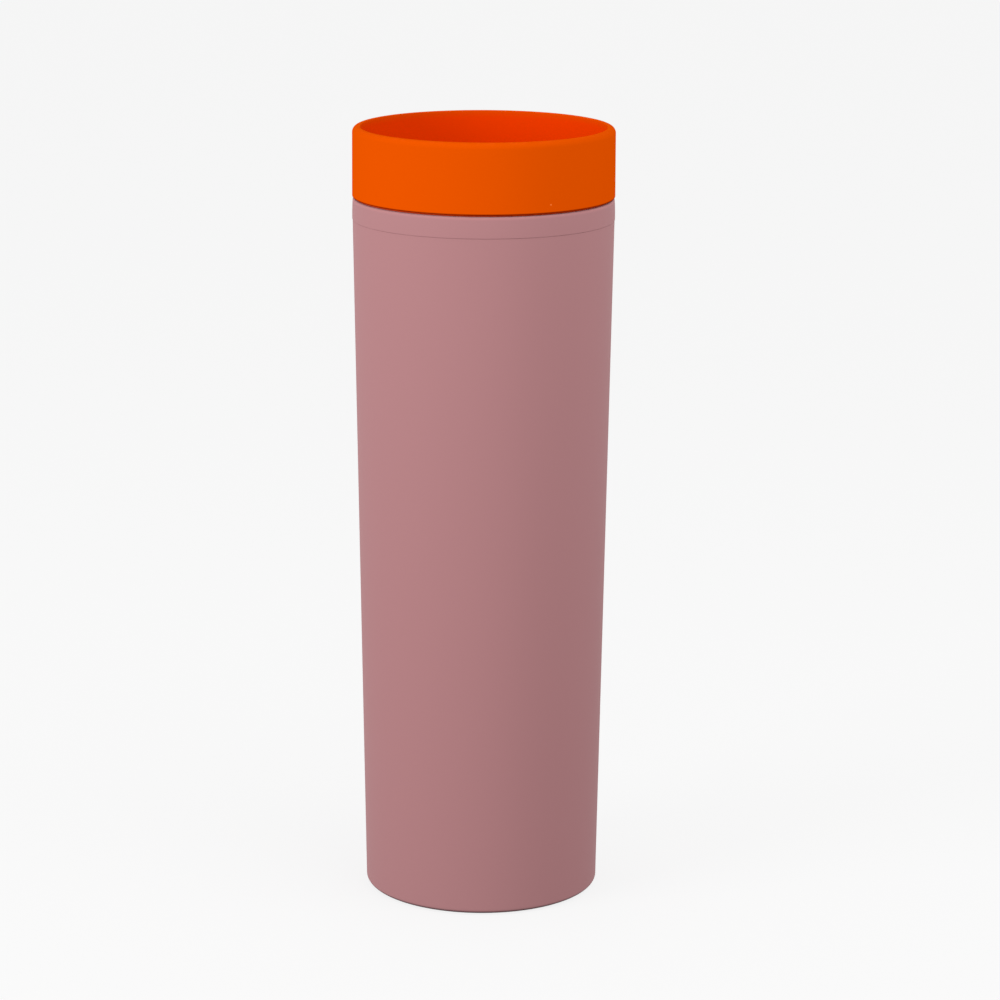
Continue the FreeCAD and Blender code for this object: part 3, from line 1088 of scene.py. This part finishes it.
class TUMBLER_OT_stage(MakePiece):
    """Makes the camera, the lights and the floor"""

    bl_idname = "tumbler.stage"
    bl_label = "Camera, lights and floor"

    def execute(self, context):
        scene = context.scene
        stage = scene.tumbler_stage
        scene.view_settings.view_transform = "Standard"

        data = bpy.data.cameras.new("camera")
        data.lens = stage.camera_lens
        data.sensor_width = SENSOR_WIDTH
        camera = bpy.data.objects.new("camera", data)
        scene.collection.objects.link(camera)
        tilt = Matrix.Rotation(math.pi / 2 - stage.camera_pitch, 4, "X")
        roll = Matrix.Rotation(stage.camera_roll, 4, "Z")
        spot = Matrix.Translation((stage.camera_side, -stage.camera_back, stage.camera_height))
        camera.matrix_world = spot @ tilt @ roll
        scene.camera = camera

        world = bpy.data.worlds.new("surroundings")
        world.use_nodes = True
        even = world.node_tree.nodes["Background"]
        even.inputs["Strength"].default_value = stage.sky
        even.inputs["Color"].default_value = WHITE
        scene.world = world
        area_light("key", bearing=(-57, 20), distance=1.2, size=0.6, power=stage.key)
        area_light("fill", bearing=(50, 50), distance=0.65, size=0.5, power=stage.fill)

        ground = bmesh.new()
        bmesh.ops.create_grid(ground, x_segments=1, y_segments=1, size=FLOOR_HALF_WIDTH)
        bmesh.ops.translate(ground, vec=(0, 0, -FLOOR_DROP), verts=ground.verts)
        mesh = mesh_from(ground, "floor")
        material = bpy.data.materials.new("pale_floor")
        material.use_nodes = True
        graph = Graph(material.node_tree)
        shader = graph.add(
            "ShaderNodeBsdfPrincipled", {},
            {
                "Base Color": (*stage.floor, 1), "Roughness": 1.0, "Specular IOR Level": 0.0,
                "Emission Color": WHITE, "Emission Strength": stage.glow,
            },
        )
        graph.end("ShaderNodeOutputMaterial", shader)
        mesh.materials.append(material)
        floor = bpy.data.objects.new("floor", mesh)
        scene.collection.objects.link(floor)
        return {"FINISHED"}


class TUMBLER_PT_panel(bpy.types.Panel):
    """Lists the makers of the tumbler's pieces and their settings"""

    bl_label = "Tumbler"
    bl_space_type = "VIEW_3D"
    bl_region_type = "UI"
    bl_category = "Tumbler"

    def draw(self, context):
        for maker in MAKERS:
            self.layout.operator(maker.bl_idname)
        for group_name in GROUPS:
            group = getattr(context.scene, group_name)
            box = self.layout.box()
            for name in group.__annotations__:
                box.prop(group, name)


MAKERS = (
    TUMBLER_OT_stage,
    TUMBLER_OT_outer_shell,
    TUMBLER_OT_mouth_ring,
    TUMBLER_OT_base,
    TUMBLER_OT_inner_liner,
    TUMBLER_OT_lid_shell,
    TUMBLER_OT_seals,
    TUMBLER_OT_straw_stopper,
)
GROUPS = {
    "tumbler_sizes": TumblerSizes, "tumbler_finish": TumblerFinish, "tumbler_stage": TumblerStage,
}


def register():
    for kind in (*GROUPS.values(), *MAKERS, TUMBLER_PT_panel):
        bpy.utils.register_class(kind)
    for name, kind in GROUPS.items():
        setattr(bpy.types.Scene, name, PointerProperty(type=kind))


def unregister():
    for name in GROUPS:
        delattr(bpy.types.Scene, name)
    for kind in (TUMBLER_PT_panel, *reversed(MAKERS), *reversed(GROUPS.values())):
        bpy.utils.unregister_class(kind)


def main():
    """Registers the makers, then makes every piece and the stage."""
    register()
    for maker in MAKERS:
        group, name = maker.bl_idname.split(".")
        getattr(getattr(bpy.ops, group), name)()


if __name__ == "__main__":
    main()
